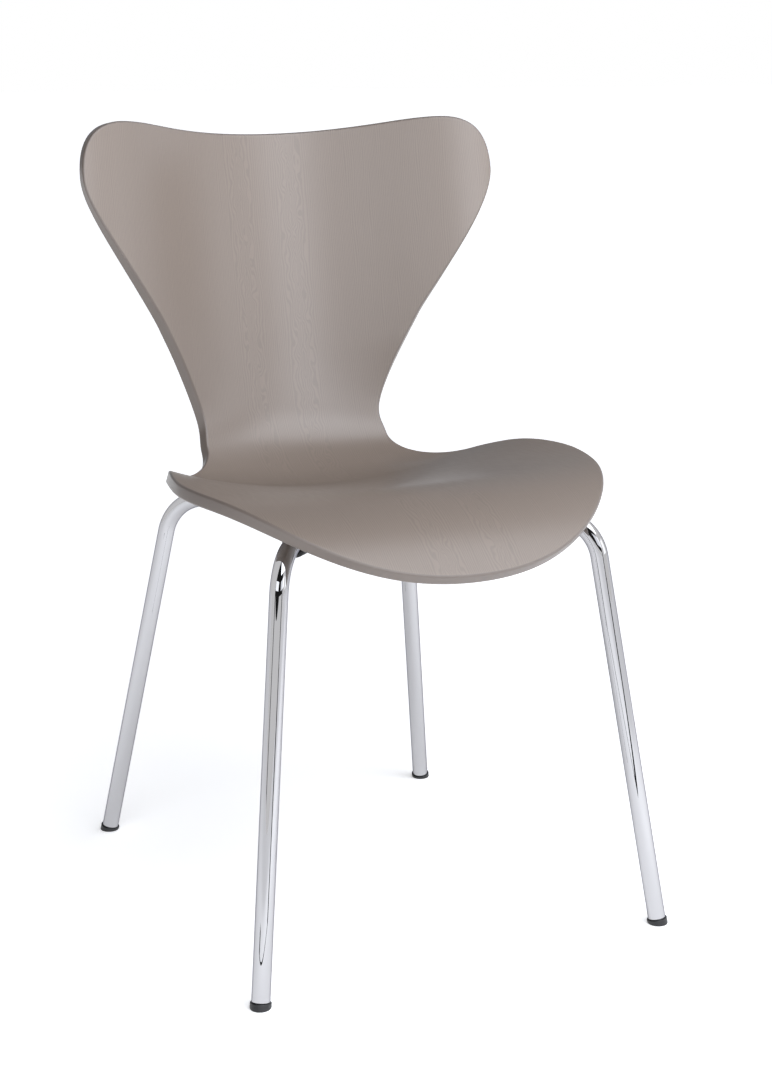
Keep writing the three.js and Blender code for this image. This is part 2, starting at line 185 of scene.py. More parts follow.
def turned(name, profile, place=None, segments=64, ripple=None):
    """A body turned about Z from (radius, z) corners. It starts and ends on the axis, or closes on itself.

    ripple(angle, z, station) adds to the radius, for a thread or a knurl."""
    closed = profile[0][0] > 0
    vertices, faces, rings = [], [], []
    for station, (radius, z) in enumerate(profile):
        if radius == 0:
            rings.append([len(vertices)] * segments)
            vertices.append((0, 0, z))
            continue
        ring = []
        for i in range(segments):
            angle = 2 * math.pi * i / segments
            reach = radius + (ripple(angle, z, station) if ripple else 0)
            ring.append(len(vertices))
            vertices.append((reach * math.cos(angle), reach * math.sin(angle), z))
        rings.append(ring)
    pairs = list(zip(rings, rings[1:]))
    if closed:
        pairs.append((rings[-1], rings[0]))
    for low, high in pairs:
        for i in range(segments):
            j = (i + 1) % segments
            corners = [low[i], low[j], high[j], high[i]]
            face = [c for k, c in enumerate(corners) if c not in corners[:k]]
            faces.append(face)
    made = mesh_object(name, vertices, faces, place)
    outward(made)
    return made


def outward(made):
    """Turns every face of a closed mesh outwards."""
    work = bmesh.new()
    work.from_mesh(made.data)
    bmesh.ops.recalc_face_normals(work, faces=work.faces)
    work.to_mesh(made.data)
    work.free()


def arc(centre, radius, first, last, steps=5):
    """Corners of an arc in a profile, from one angle to another in degrees."""
    angles = [math.radians(first + (last - first) * i / steps) for i in range(steps + 1)]
    return [(centre[0] + radius * math.cos(a), centre[1] + radius * math.sin(a)) for a in angles]


def aim(place, direction):
    """The matrix that stands a body made about +Z at a place, along a direction."""
    turn = Vector((0, 0, 1)).rotation_difference(Vector(direction)).to_matrix().to_4x4()
    return Matrix.Translation(Vector(place)) @ turn


# ---------------------------------------------------------------- the sheet


def smoothstep(x):
    """A smooth rise from 0 to 1 as x does the same."""
    share = np.clip(x, 0, 1)
    return share * share * (3 - 2 * share)


def eased(rule, s):
    """The value of a bending rule at s."""
    start, steps = rule
    return start + sum(by * smoothstep((s - begin) / over) for begin, over, by in steps)


def profile_angle(s):
    """The slope of the centre line at s."""
    return np.radians(eased(PROFILE_ANGLE, s))


# The centre line, added up a millimetre at a time.
LINE_S = np.arange(0, SHELL["length"] + MM / 2, MM)
LINE_ANGLE = profile_angle(LINE_S[:-1] + MM / 2)
LINE_Y = SHELL["front_y"] + np.concatenate([[0], np.cumsum(np.cos(LINE_ANGLE)) * MM])
LINE_Z = SHELL["front_z"] + np.concatenate([[0], np.cumsum(np.sin(LINE_ANGLE)) * MM])


def cross_slope(t, s):
    """The slope across the sheet at (t, s)."""
    straightening = 1 - eased(EDGE_EASING, s) * (t / EASING_HALF_WIDTH) ** 2
    return eased(CROSS_CURVATURE, s) * t * straightening


def sheet_point(t, s, depth=0.0):
    """Points of the sheet, depth below its sitting face. t and s may be arrays."""
    t, s = np.broadcast_arrays(np.asarray(t, float), np.asarray(s, float))
    panels = 8
    x, rise = np.zeros(t.shape), np.zeros(t.shape)
    for i in range(panels):
        slope = cross_slope(t * (i + 0.5) / panels, s)
        x += np.cos(slope) * t / panels
        rise += np.sin(slope) * t / panels
    edge_slope = cross_slope(t, s)
    x += depth * np.sin(edge_slope)
    rise -= depth * np.cos(edge_slope)
    angle = profile_angle(s)
    y = np.interp(s, LINE_S, LINE_Y) - rise * np.sin(angle)
    z = np.interp(s, LINE_S, LINE_Z) + rise * np.cos(angle)
    return np.stack([x, y, z], -1)


def outline_table(steps=400):
    """The half outline as fine points: share of its length, place and direction."""
    u = np.linspace(0, 1, steps + 1)[:, None]
    places, ways = [], []
    for (t0, s0, turn0, _, after), (t1, s1, turn1, before, _) in zip(OUTLINE, OUTLINE[1:]):
        a, b = math.radians(turn0), math.radians(turn1)
        p0, p3 = np.array([t0, s0]), np.array([t1, s1])
        p1 = p0 + after * np.array([math.cos(a), math.sin(a)])
        p2 = p3 - before * np.array([math.cos(b), math.sin(b)])
        places.append((1 - u) ** 3 * p0 + 3 * u * (1 - u) ** 2 * p1 + 3 * u * u * (1 - u) * p2 + u**3 * p3)
        ways.append(3 * (1 - u) ** 2 * (p1 - p0) + 6 * u * (1 - u) * (p2 - p1) + 3 * u * u * (p3 - p2))
    place = np.concatenate(places) * MM
    way = np.concatenate(ways)
    way /= np.linalg.norm(way, axis=1, keepdims=True)
    run = np.concatenate([[0], np.cumsum(np.linalg.norm(np.diff(place, axis=0), axis=1))])
    return run / run[-1], place, way


OUTLINE_SHARE, OUTLINE_PLACE, OUTLINE_WAY = outline_table()


def outline_point(share, side, inset):
    """Places inset from the outline at shares of its half length, on the side of +t or -t."""
    t, s, way_t, way_s = (
        np.interp(share, OUTLINE_SHARE, column)
        for column in (*OUTLINE_PLACE.T, *OUTLINE_WAY.T)
    )
    return side * (t - inset * way_s), s + inset * way_t


def blank_point(column, row, inset):
    """Places of the blank's grid, whose lines bow to meet the front edge and the top edge."""
    q = 2 * column - 1
    side = np.where(q < 0, -1, 1)
    front, top = GRID["front_corner"], GRID["top_corner"]
    edge_t, edge_s = outline_point(front + (top - front) * row, 1, inset)
    t, s = edge_t * q, edge_s
    for corner, share, weight in (
        (front, front * np.abs(q), (1 - row) ** 2),
        (top, 1 - (1 - top) * np.abs(q), row**2),
    ):
        end_t, end_s = outline_point(corner, 1, inset)
        bow_t, bow_s = outline_point(share, side, inset)
        t = t + weight * (bow_t - end_t * q)
        s = s + weight * (bow_s - end_s)
    return t, s


def rim_profile(steps=5):
    """(inset, depth) across the edge, from the sitting face round both arrises to the underside."""
    radius, thickness = SHELL["arris"], SHELL["thickness"]
    turns = [math.radians(90 * i / steps) for i in range(steps + 1)]
    upper = [(radius * (1 - math.sin(a)), radius * (1 - math.cos(a))) for a in turns]
    lower = [(inset, thickness - depth) for inset, depth in reversed(upper)]
    return [*upper, (0, thickness / 2), *lower]


def shell_object():
    """The sheet as one closed mesh, with the blank's own (t, s) as its UV map."""
    across, along = GRID["across"], GRID["along"]
    radius, thickness = SHELL["arris"], SHELL["thickness"]
    column, row = np.meshgrid(np.arange(across + 1) / across, np.arange(along + 1) / along, indexing="ij")
    t, s = blank_point(column, row, radius)
    count = t.size
    vertices = [sheet_point(t, s).reshape(-1, 3), sheet_point(t, s, thickness).reshape(-1, 3)]
    plan = np.stack([t, s], -1).reshape(-1, 2)

    def index(i, j):
        return i * (along + 1) + j

    rim = [(i, 0) for i in range(across)]
    rim += [(across, j) for j in range(along)]
    rim += [(i, along) for i in range(across, 0, -1)]
    rim += [(0, j) for j in range(along, 0, -1)]
    rim_index = np.array([index(i, j) for i, j in rim])
    rim_column, rim_row = (np.array(values) for values in zip(*[(i / across, j / along) for i, j in rim]))
    outer = np.stack(blank_point(rim_column, rim_row, 0), -1)
    outward_way = outer - plan[rim_index]
    outward_way /= np.linalg.norm(outward_way, axis=1, keepdims=True)

    profile = rim_profile()
    runs = np.concatenate([[0], np.cumsum([math.dist(a, b) for a, b in zip(profile, profile[1:])])])
    rings, ring_plans = [rim_index], [plan[rim_index]]
    made = 2 * count
    for (inset, depth), run in zip(profile[1:-1], runs[1:-1]):
        ring_t, ring_s = blank_point(rim_column, rim_row, inset)
        vertices.append(sheet_point(ring_t, ring_s, depth))
        rings.append(made + np.arange(len(rim)))
        ring_plans.append(plan[rim_index] + outward_way * run)
        made += len(rim)
    rings.append(rim_index + count)
    ring_plans.append(plan[rim_index] + outward_way * runs[-1])

    faces, corners = [], []
    for i in range(across):
        for j in range(along):
            quad = [index(i, j), index(i + 1, j), index(i + 1, j + 1), index(i, j + 1)]
            faces.append(quad)
            corners.extend(plan[quad])
            quad = quad[::-1]
            faces.append([k + count for k in quad])
            corners.extend(plan[quad])
    following = np.roll(np.arange(len(rim)), -1)
    for upper, lower, plan_up, plan_low in zip(rings, rings[1:], ring_plans, ring_plans[1:]):
        for k, after in enumerate(following):
            faces.append([lower[k], lower[after], upper[after], upper[k]])
            corners.extend([plan_low[k], plan_low[after], plan_up[after], plan_up[k]])

    made = mesh_object("moulded_shell", np.concatenate(vertices), faces)
    rim_share = np.zeros(len(made.data.vertices), np.float32)
    rim_share[2 * count:] = 1
    made.data.attributes.new("rim", "FLOAT", "POINT").data.foreach_set("value", rim_share)
    layer = made.data.uv_layers.new(name="blank")
    layer.data.foreach_set("uv", np.array(corners, np.float32).ravel())
    return made


# ---------------------------------------------------------------- the hub's own frame

HUB_PLACE = sheet_point(0, HUB_S, SHELL["thickness"])
HUB_FRAME = Matrix.Translation(Vector(HUB_PLACE)) @ Matrix.Rotation(float(profile_angle(HUB_S)), 4, "X")
SCREW_PLACES = {
    "front": (0, -SCREW_CIRCLE),
    "rear": (0, SCREW_CIRCLE),
    "left": (SCREW_CIRCLE, 0),
    "right": (-SCREW_CIRCLE, 0),
}


def at_hub(x=0.0, y=0.0):
    """The matrix of a place on the sheet's underside round the hub's axis."""
    return HUB_FRAME @ Matrix.Translation((x, y, 0))


# ---------------------------------------------------------------- legs


def leg_route(leg, side, start_height, bend_steps=36):
    """The centre line of a leg as (place, direction) pairs, and the direction of its bend's axis."""
    floor = Vector((side * leg["foot"][0], leg["foot"][1], 0)) * MM
    knee = Vector((side * leg["knee"][0], leg["knee"][1], leg["knee"][2])) * MM
    axis_point = HUB_FRAME @ Vector((0, 0, -leg["hub_drop"] * MM))
    end = axis_point + (knee - axis_point).normalized() * (HUB_RADIUS + TUBE["hub_gap"])
    up, inward = (knee - floor).normalized(), (end - knee).normalized()
    turn = up.angle(inward)
    radius = leg["bend"] * MM
    setback = radius * math.tan(turn / 2)
    axis = up.cross(inward).normalized()
    bend_start = knee - up * setback
    centre = bend_start + axis.cross(up) * radius
    route = [(floor + up * start_height, up)]
    for i in range(bend_steps + 1):
        turned_by = Matrix.Rotation(turn * i / bend_steps, 3, axis)
        route.append((centre + turned_by @ (bend_start - centre), turned_by @ up))
    route.append((end, inward))
    return route, axis


def tube_object(name, route, axis, sides=64):
    """A round tube along a route: the outside, a rounded end, the bore and the other end."""
    radius, wall, edge = TUBE["radius"], TUBE["wall"], TUBE["end_round"]
    (start, start_way), (end, end_way) = route[0], route[-1]
    middle = route[1:-1]
    stations = [(start + start_way * edge, start_way, radius)]
    stations += [(place, way, radius) for place, way in middle]
    stations.append((end - end_way * edge, end_way, radius))
    stations += [(end, end_way, radius - edge), (end, end_way, radius - wall)]
    stations += [(place, way, radius - wall) for place, way in reversed(middle)]
    stations += [(start, start_way, radius - wall), (start, start_way, radius - edge)]
    vertices, faces = [], []
    for place, way, reach in stations:
        across = axis.cross(way)
        for i in range(sides):
            angle = 2 * math.pi * i / sides
            vertices.append(place + (axis * math.cos(angle) + across * math.sin(angle)) * reach)
    for k in range(len(stations)):
        following = (k + 1) % len(stations)
        for i in range(sides):
            j = (i + 1) % sides
            faces.append([k * sides + i, k * sides + j, following * sides + j, following * sides + i])
    made = mesh_object(name, vertices, faces)
    outward(made)
    made.data.set_sharp_from_angle(angle=math.radians(40))
    return made


CAP = {"radius": 10.4, "height": 6, "round": 0.9, "floor_round": 1.3, "top": 26, "top_round": 1.2}
CAP_SPIGOT = {"radius": 6.5, "rib": 6.9, "ribs": 3, "first_rib": 3, "rib_spacing": 5}


def cap_object(name, leg, side):
    """The black cap: a round-edged disc with a ribbed spigot, cut level with the floor."""
    floor = Vector((side * leg["foot"][0], leg["foot"][1], 0)) * MM
    knee = Vector((side * leg["knee"][0], leg["knee"][1], leg["knee"][2])) * MM
    radius, height, top = CAP["radius"], CAP["height"], CAP["top"]
    spigot, rib_radius = CAP_SPIGOT["radius"], CAP_SPIGOT["rib"]
    profile = [(0, -height), (radius, -height)]
    profile += arc((radius - CAP["round"], height - CAP["round"]), CAP["round"], 0, 90)
    profile += [(spigot, height)]
    for rib in range(CAP_SPIGOT["ribs"]):
        foot = height + CAP_SPIGOT["first_rib"] + CAP_SPIGOT["rib_spacing"] * rib
        profile += [(spigot, foot), (rib_radius, foot + 0.5), (rib_radius, foot + 1.5), (spigot, foot + 3)]
    profile += arc((spigot - CAP["top_round"], top - CAP["top_round"]), CAP["top_round"], 0, 90)
    profile += [(0, top)]
    metres = [(r * MM, z * MM) for r, z in profile]
    made = turned(name, metres, aim(floor, knee - floor), segments=72)
    work = bmesh.new()
    work.from_mesh(made.data)
    everything = [*work.verts, *work.edges, *work.faces]
    plane = {"plane_co": (0, 0, 0), "plane_no": (0, 0, -1)}
    result = bmesh.ops.bisect_plane(work, geom=everything, clear_outer=True, **plane)
    rim = [e for e in result["geom_cut"] if isinstance(e, bmesh.types.BMEdge)]
    bmesh.ops.contextual_create(work, geom=rim)
    bmesh.ops.recalc_face_normals(work, faces=work.faces)
    rim = [e for e in work.edges if all(abs(v.co.z) < 1e-6 for v in e.verts)]
    bmesh.ops.bevel(work, geom=rim, offset=CAP["floor_round"] * MM, segments=5, profile=0.5, affect="EDGES")
    work.to_mesh(made.data)
    work.free()
    return soften(made, 0)


SPACER = {"sleeve": 12.4, "length": 24, "past_bend": 15, "pad": 9.5, "clearance": 0.4, "bore_gap": 0.15}


def underside_over(place):
    """The place on the sheet's underside straight above a point, and the way up out of the sheet."""
    t, s = place.x, place.y - SHELL["front_y"]
    step = MM / 2
    for _ in range(12):
        here = sheet_point(t, s, SHELL["thickness"])
        by_t = (sheet_point(t + step, s, SHELL["thickness"]) - here) / step
        by_s = (sheet_point(t, s + step, SHELL["thickness"]) - here) / step
        miss = np.array([place.x, place.y]) - here[:2]
        t, s = np.array([t, s]) + np.linalg.solve(np.column_stack([by_t[:2], by_s[:2]]), miss)
    return Vector(here), Vector(np.cross(by_t, by_s)).normalized()


def spacer_object(name, route):
    """The rubber spacer: a sleeve round the tube with a pad up to the sheet."""
    bend_end, way = route[-2]
    place = bend_end + way * SPACER["past_bend"] * MM
    half, sleeve = SPACER["length"] / 2 * MM, SPACER["sleeve"] * MM
    standing = aim(place, way)
    round_by = 1.5 * MM
    profile = [(0, -half), *arc((sleeve - round_by, -half + round_by), round_by, -90, 0)]
    profile += [*arc((sleeve - round_by, half - round_by), round_by, 0, 90), (0, half)]
    made = turned(name, profile, standing, segments=56)
    top, normal = underside_over(place)
    top = top - normal * SPACER["clearance"] * MM
    height = (top - place).length
    pad = SPACER["pad"] * MM
    pad_profile = [(0, -height), (pad + MM, -height), (pad, -round_by)]
    pad_profile += [*arc((pad - round_by, -round_by), round_by, 0, 90), (0, 0)]
    cut(made, [turned("pad", pad_profile, aim(top, normal), segments=56)], "UNION")
    bore = TUBE["radius"] + SPACER["bore_gap"] * MM
    drill = [(0, -3 * half), (bore, -3 * half), (bore, 3 * half), (0, 3 * half)]
    cut(made, [turned("bore", drill, standing, 64)])
    return soften(made, 0.5 * MM, 2, 35)


# ---------------------------------------------------------------- hub, plate, cover and screws

PLATE = {"radius": 58, "thickness": 3, "drop": 0.5, "hole": 3.4}
PLATE_TOP = -PLATE["drop"] * MM
PLATE_BOTTOM = PLATE_TOP - PLATE["thickness"] * MM
HUB_HEIGHT = 32.5 * MM
GAP = 0.3 * MM
COVER = {"radius": 66, "wall": 2.2, "rim": -2, "floor": -41.5, "corner": 12, "notch": 10.2, "hole": 2.9}
THREAD = {"pitch": 1.0 * MM, "depth": 0.5 * MM}


def plate_object():
    """The round plate with four holes."""
    radius, edge = PLATE["radius"] * MM, 0.35 * MM
    lower = arc((radius - edge, PLATE_BOTTOM + edge), edge, -90, 0, 4)
    upper = arc((radius - edge, PLATE_TOP - edge), edge, 0, 90, 4)
    profile = [(0, PLATE_BOTTOM), *lower, *upper, (0, PLATE_TOP)]
    made = turned("mounting_plate_visual", profile, at_hub(), segments=96)
    hole, low, high = PLATE["hole"] * MM, PLATE_BOTTOM - MM, PLATE_TOP + MM
    drill = [(0, low), (hole, low), (hole, high), (0, high)]
    cut(made, [turned("drill", drill, at_hub(x, y), 32) for x, y in SCREW_PLACES.values()])
    return soften(made, 0)


def thread_ripple(stations):
    """The ripple of a right-hand thread on those stations of a profile."""
    def ripple(angle, z, station):
        if station not in stations:
            return 0
        phase = (z / THREAD["pitch"] - angle / (2 * math.pi)) % 1
        return THREAD["depth"] * (abs(2 * phase - 1) - 1)
    return ripple


def threaded_run(radius, low, high, rows=8):
    """Close stations for a thread, from low to high."""
    count = max(2, round(abs(high - low) / THREAD["pitch"] * rows))
    return [(radius, low + (high - low) * i / count) for i in range(count + 1)]


def hub_object():
    """The chamfered drum, with the cover screw's threaded hole up its middle."""
    top = PLATE_BOTTOM - GAP
    bottom = top - HUB_HEIGHT
    bore, chamfer = 2.8 * MM, 1.5 * MM
    run = threaded_run(bore, bottom + 18 * MM, bottom + 0.8 * MM)
    profile = [(0, bottom + 18 * MM), *run, (bore + 0.6 * MM, bottom)]
    profile += [(HUB_RADIUS - chamfer, bottom), (HUB_RADIUS, bottom + chamfer), (HUB_RADIUS, top), (0, top)]
    made = turned("leg_hub_visual", profile, at_hub(), 72, thread_ripple(range(2, len(run))))
    return soften(made, 0)


def washer_object(name, place):
    """A flat washer with rounded outer edges, just below the plate."""
    top = PLATE_BOTTOM - GAP
    inner, outer, thick, edge = 3.1 * MM, 6.6 * MM, 1.2 * MM, 0.25 * MM
    bottom = top - thick
    profile = [(inner, bottom), *arc((outer - edge, bottom + edge), edge, -90, 0, 3)]
    profile += [*arc((outer - edge, top - edge), edge, 0, 90, 3), (inner, top)]
    return soften(turned(name, profile, place, 56), 0)


def screw_object(name, place, size, seat, tip):
    """A pan head screw driven upwards, with a hexagon socket, a plain neck and a thread."""
    shank, head, height, socket = (value * MM for value in size)
    bottom = seat - height
    dome = 1.6 * MM
    profile = [(0, bottom), *arc((head - dome, bottom + dome), dome, -90, 0, 6)]
    profile += [(head, seat - 0.2 * MM), (head - 0.2 * MM, seat), (shank, seat)]
    run = threaded_run(shank, seat + 2 * MM, tip - 0.8 * MM)
    first = len(profile)
    profile += [*run, (shank - 0.9 * MM, tip), (0, tip)]
    made = turned(name, profile, place, 48, thread_ripple(range(first, first + len(run))))
    low, high = bottom - MM, bottom + 0.6 * height
    hexagon = [(0, low), (socket, low), (socket, high), (0, high)]
    cut(made, [turned("socket", hexagon, place, 6)])
    return soften(made, 0)


def insert_object(name, place):
    """A knurled brass insert with a thread inside."""
    inner, outer, bottom, top = 3.1 * MM, 4.6 * MM, 1 * MM, 9 * MM
    run = threaded_run(inner, top - 0.4 * MM, bottom + 0.4 * MM)
    grooves = [bottom, bottom + 3.4 * MM, bottom + 4.6 * MM, top]
    profile = [(inner + 0.5 * MM, bottom), (outer - 0.4 * MM, bottom)]
    knurled = []
    for low, high in ((grooves[0], grooves[1]), (grooves[2], grooves[3])):
        knurled += [len(profile), len(profile) + 1]
        profile += [(outer, low + 0.4 * MM), (outer, high - 0.4 * MM), (outer - 0.5 * MM, high)]
        if high < top:
            profile += [(outer - 0.5 * MM, grooves[2])]
    profile += [(inner + 0.5 * MM, top)]
    thread = thread_ripple(range(len(profile), len(profile) + len(run)))

    def ripple(angle, z, station):
        knurl = 0.18 * MM * (math.cos(16 * angle) - 1) if station in knurled else 0
        return knurl - thread(angle, z, station)

    return soften(turned(name, [*profile, *run], place, 96, ripple), 0)


def cover_object(routes):
    """The moulded bowl over the hub, with a notch for each tube and a dished middle for its screw."""
    radius, wall, rim, floor, corner = (COVER[k] * MM for k in ("radius", "wall", "rim", "floor", "corner"))
    dish, dish_depth, half_steps = 9 * MM, 0.6 * MM, 20
    outer = [(0, floor + dish_depth), (dish - MM, floor + dish_depth), (dish, floor)]
    outer += arc((radius - corner, floor + corner), corner, -90, 0, 14)
    inner = arc((radius - corner, floor + corner), corner - wall, 0, -90, 12)
    profile = [*outer, (radius, rim), (radius - wall, rim), *inner, (0, floor + wall)]
    made = turned("centre_cover_visual", profile, at_hub(), segments=128)
    hole, low, high = COVER["hole"] * MM, floor - MM, floor + wall + MM
    drill = [(0, low), (hole, low), (hole, high), (0, high)]
    cutters = [turned("drill", drill, at_hub(), 40)]
    to_hub = HUB_FRAME.inverted()
    notch, reach = COVER["notch"] * MM, 2 * radius
    for route in routes:
        end, way = route[-1]
        start = to_hub @ end
        out = (to_hub.to_3x3() @ -way).normalized()
        side = out.cross(Vector((0, 0, 1))).normalized() * notch
        up = Vector((0, 0, reach))
        half_round = [math.pi * (1 + i / half_steps) for i in range(half_steps + 1)]
        lift = side.cross(out).normalized()
        lift = lift if lift.z > 0 else -lift
        section = [side * math.cos(a) + lift * notch * math.sin(a) for a in half_round]
        section = [section[0] + up, *section, section[-1] + up]
        vertices = [start + point for point in section]
        vertices += [start + out * reach + point for point in section]
        count = len(section)
        faces = [list(range(count)), list(range(2 * count - 1, count - 1, -1))]
        faces += [[i, (i + 1) % count, (i + 1) % count + count, i + count] for i in range(count)]
        cutter = mesh_object("notch", vertices, faces, at_hub())
        outward(cutter)
        cutters.append(cutter)
    cut(made, cutters)
    return soften(made, 0.4 * MM, 2, 40)


# ---------------------------------------------------------------- materials


class Nodes:
    """Short calls that add nodes to a tree."""

    def __init__(self, tree):
        self.tree = tree

    def node(self, kind, settings=None, **inputs):
        made = self.tree.nodes.new("ShaderNode" + kind)
        for setting, value in (settings or {}).items():
            setattr(made, setting, value)
        for socket, value in inputs.items():
            self.feed(made.inputs[socket.replace("_", " ")], value)
        return made

    def feed(self, socket, value):
        """Links another node's output to a socket, or sets the socket to a plain value."""
        if isinstance(value, bpy.types.NodeSocket):
            self.tree.links.new(value, socket)
        else:
            socket.default_value = value

    def math(self, operation, a, b=0.0):
        made = self.node("Math", {"operation": operation})
        self.feed(made.inputs[0], a)
        self.feed(made.inputs[1], b)
        return made.outputs[0]

    def plus(self, a, b):
        return self.math("ADD", a, b)

    def times(self, a, b):
        return self.math("MULTIPLY", a, b)

    def vector_math(self, operation, *values):
        made = self.node("VectorMath", {"operation": operation})
        for socket, value in zip(made.inputs, values):
            self.feed(socket, value)
        return made.outputs["Value" if operation in ("DOT_PRODUCT", "LENGTH") else "Vector"]


class Graph(Nodes):
    """A node material: a Principled shader, and short calls to add what feeds it."""

    def __init__(self, name, **constants):
        self.material = bpy.data.materials.new(name + "_finish")
        self.material.use_nodes = True
        super().__init__(self.material.node_tree)
        self.shader = self.tree.nodes["Principled BSDF"]
        for socket, value in constants.items():
            self.shader.inputs[socket.replace("_", " ")].default_value = value

    def vector(self, x=0.0, y=0.0, z=0.0):
        return self.node("CombineXYZ", X=x, Y=y, Z=z).outputs[0]

    def noise(self, vector, scale, detail=2.0, roughness=0.5):
        made = self.node("TexNoise", Vector=vector, Scale=scale, Detail=detail, Roughness=roughness)
        return made.outputs["Fac"]

    def object_coordinates(self):
        return self.node("TexCoord").outputs["Object"]

    def ramp(self, value, low, high, to_low=0.0, to_high=1.0):
        made = self.node("MapRange", {"interpolation_type": "SMOOTHSTEP"}, Value=value)
        made.inputs["From Min"].default_value = low
        made.inputs["From Max"].default_value = high
        made.inputs["To Min"].default_value = to_low
        made.inputs["To Max"].default_value = to_high
        return made.outputs["Result"]

    def mix(self, share, a, b):
        made = self.node("Mix", {"data_type": "RGBA"})
        self.feed(made.inputs["Factor"], share)
        for slot, colour in ((6, a), (7, b)):
            self.feed(made.inputs[slot], (*colour, 1.0) if isinstance(colour, tuple) else colour)
        return made.outputs[2]

    def bump(self, height, distance, strength):
        made = self.node("Bump", Height=height, Distance=distance, Strength=strength)
        self.set("Normal", made.outputs["Normal"])

    def set(self, socket, value):
        self.feed(self.shader.inputs[socket], value)


# The veneer's grain. Noises are (cells a metre across the grain, share of that along it, detail, roughness).
HEART = {"place": 0.03, "near": 0.003, "far": 0.02}
RING_PERIOD = 0.0019
ARCHES, ARCH_SIZE = (90.0, 0.5, 1.0, 0.5), 0.012
SWAY, SWAY_SIZE = (60.0, 0.12, 2.0, 0.5), 0.008
PORES, PORE_FROM, PORE_TO, PORES_IN_LATE_WOOD = (1500.0, 0.14, 2.0, 0.6), 0.42, 0.72, 0.35
LINES, LINES_LEVEL = (700.0, 0.06, 1.0, 0.5), 0.0007
SHEEN = (300.0, 0.14, 2.0, 0.5)

# How much of each goes into the height and the tone, and the colours that the tone mixes.
HEIGHT_SHARES = {"ring": 0.45, "pores": -0.8, "lines": 0.9}
TONE_SHARES = {"ring": 0.55, "pores": 0.2, "lines": 0.25}
FACE_COLOURS = (0.196, 0.158, 0.131), (0.154, 0.124, 0.103)
# Painted shade: the sheet's edge has the same taupe paint as its faces, and this darker colour on the rim
# stands for the shade on it.
EDGE_SHADE_COLOUR = (0.142, 0.116, 0.1)


def painted_plywood():
    """Taupe satin lacquer over open-pored veneer: growth rings in two book-matched leaves, and pores."""
    graph = Graph("painted_plywood", Specular_IOR_Level=0.6)
    blank = graph.node("UVMap", {"uv_map": "blank"}).outputs["UV"]
    parts = graph.node("SeparateXYZ", Vector=blank).outputs
    t, s = parts["X"], parts["Y"]

    def grain(noise, level=0.0):
        scale, share, detail, roughness = noise
        return graph.noise(graph.vector(t, graph.times(s, share), level), scale, detail, roughness)

    from_heart = graph.math("SUBTRACT", graph.math("ABSOLUTE", t), HEART["place"])
    from_heart = graph.math("ABSOLUTE", from_heart)
    near_heart = graph.ramp(from_heart, HEART["near"], HEART["far"], 1.0, 0.0)
    arches = graph.times(graph.times(grain(ARCHES), near_heart), ARCH_SIZE)
    across = graph.plus(from_heart, graph.times(grain(SWAY), SWAY_SIZE))
    ring = graph.math("SINE", graph.times(graph.plus(across, arches), 2 * math.pi / RING_PERIOD))
    early_wood = graph.ramp(ring, -0.6, 0.9)
    pores = graph.ramp(grain(PORES), PORE_FROM, PORE_TO)
    pores = graph.times(pores, graph.ramp(early_wood, 0.0, 1.0, PORES_IN_LATE_WOOD, 1.0))
    lines = grain(LINES, LINES_LEVEL)

    def total(shares, rings):
        made = graph.times(rings, shares["ring"])
        made = graph.plus(made, graph.times(pores, shares["pores"]))
        return graph.plus(made, graph.times(lines, shares["lines"]))

    graph.bump(total(HEIGHT_SHARES, ring), distance=0.00002, strength=0.35)
    face = graph.mix(total(TONE_SHARES, early_wood), *FACE_COLOURS)
    # The rim gets the darker colour: painted shade on the sheet's edge.
    edge = graph.node("Attribute", {"attribute_name": "rim"}).outputs["Fac"]
    graph.set("Base Color", graph.mix(edge, face, EDGE_SHADE_COLOUR))
    graph.set("Roughness", graph.ramp(grain(SHEEN), 0.2, 0.8, 0.285, 0.335))
    return graph.material


def chromed_tube():
    """Bright chrome on tube, with faint drawing lines along it."""
    graph = Graph("chromed_tube", Metallic=1.0, Base_Color=(0.49, 0.487, 0.5, 1), Roughness=0.0)
    graph.shader.inputs["Specular Tint"].default_value = (0.3, 0.3, 0.33, 1)
    stretched = graph.vector_math("MULTIPLY", graph.object_coordinates(), (1, 1, 0.03))
    graph.bump(graph.noise(stretched, 900.0), distance=0.00001, strength=0.04)
    return graph.material


def plain_metal(name, colour, roughness, spread=0.08):
    """Plated or machined metal with fine, uneven grain."""
    graph = Graph(name, Metallic=1.0)
    place = graph.object_coordinates()
    cloud = graph.noise(place, 140.0, 4.0)
    darker = tuple(0.8 * c for c in colour)
    graph.set("Base Color", graph.mix(graph.ramp(cloud, 0.35, 0.65), darker, colour))
    graph.set("Roughness", graph.ramp(cloud, 0.3, 0.7, roughness - spread, roughness + spread))
    graph.bump(graph.noise(place, 2500.0), distance=0.00002, strength=0.4)
    return graph.material


def moulded_black(name, colour, roughness, grain, depth):
    """Black plastic or rubber with the fine texture of its mould, a little paler in patches."""
    graph = Graph(name)
    place = graph.object_coordinates()
    cloud = graph.noise(place, 90.0, 4.0)
    paler = tuple(1.7 * c + 0.003 for c in colour)
    graph.set("Base Color", graph.mix(graph.ramp(cloud, 0.45, 0.75), colour, paler))
    graph.set("Roughness", graph.ramp(cloud, 0.3, 0.7, roughness - 0.06, roughness + 0.06))
    graph.bump(graph.noise(place, grain, 3.0, 0.7), distance=depth, strength=0.6)
    return graph.material


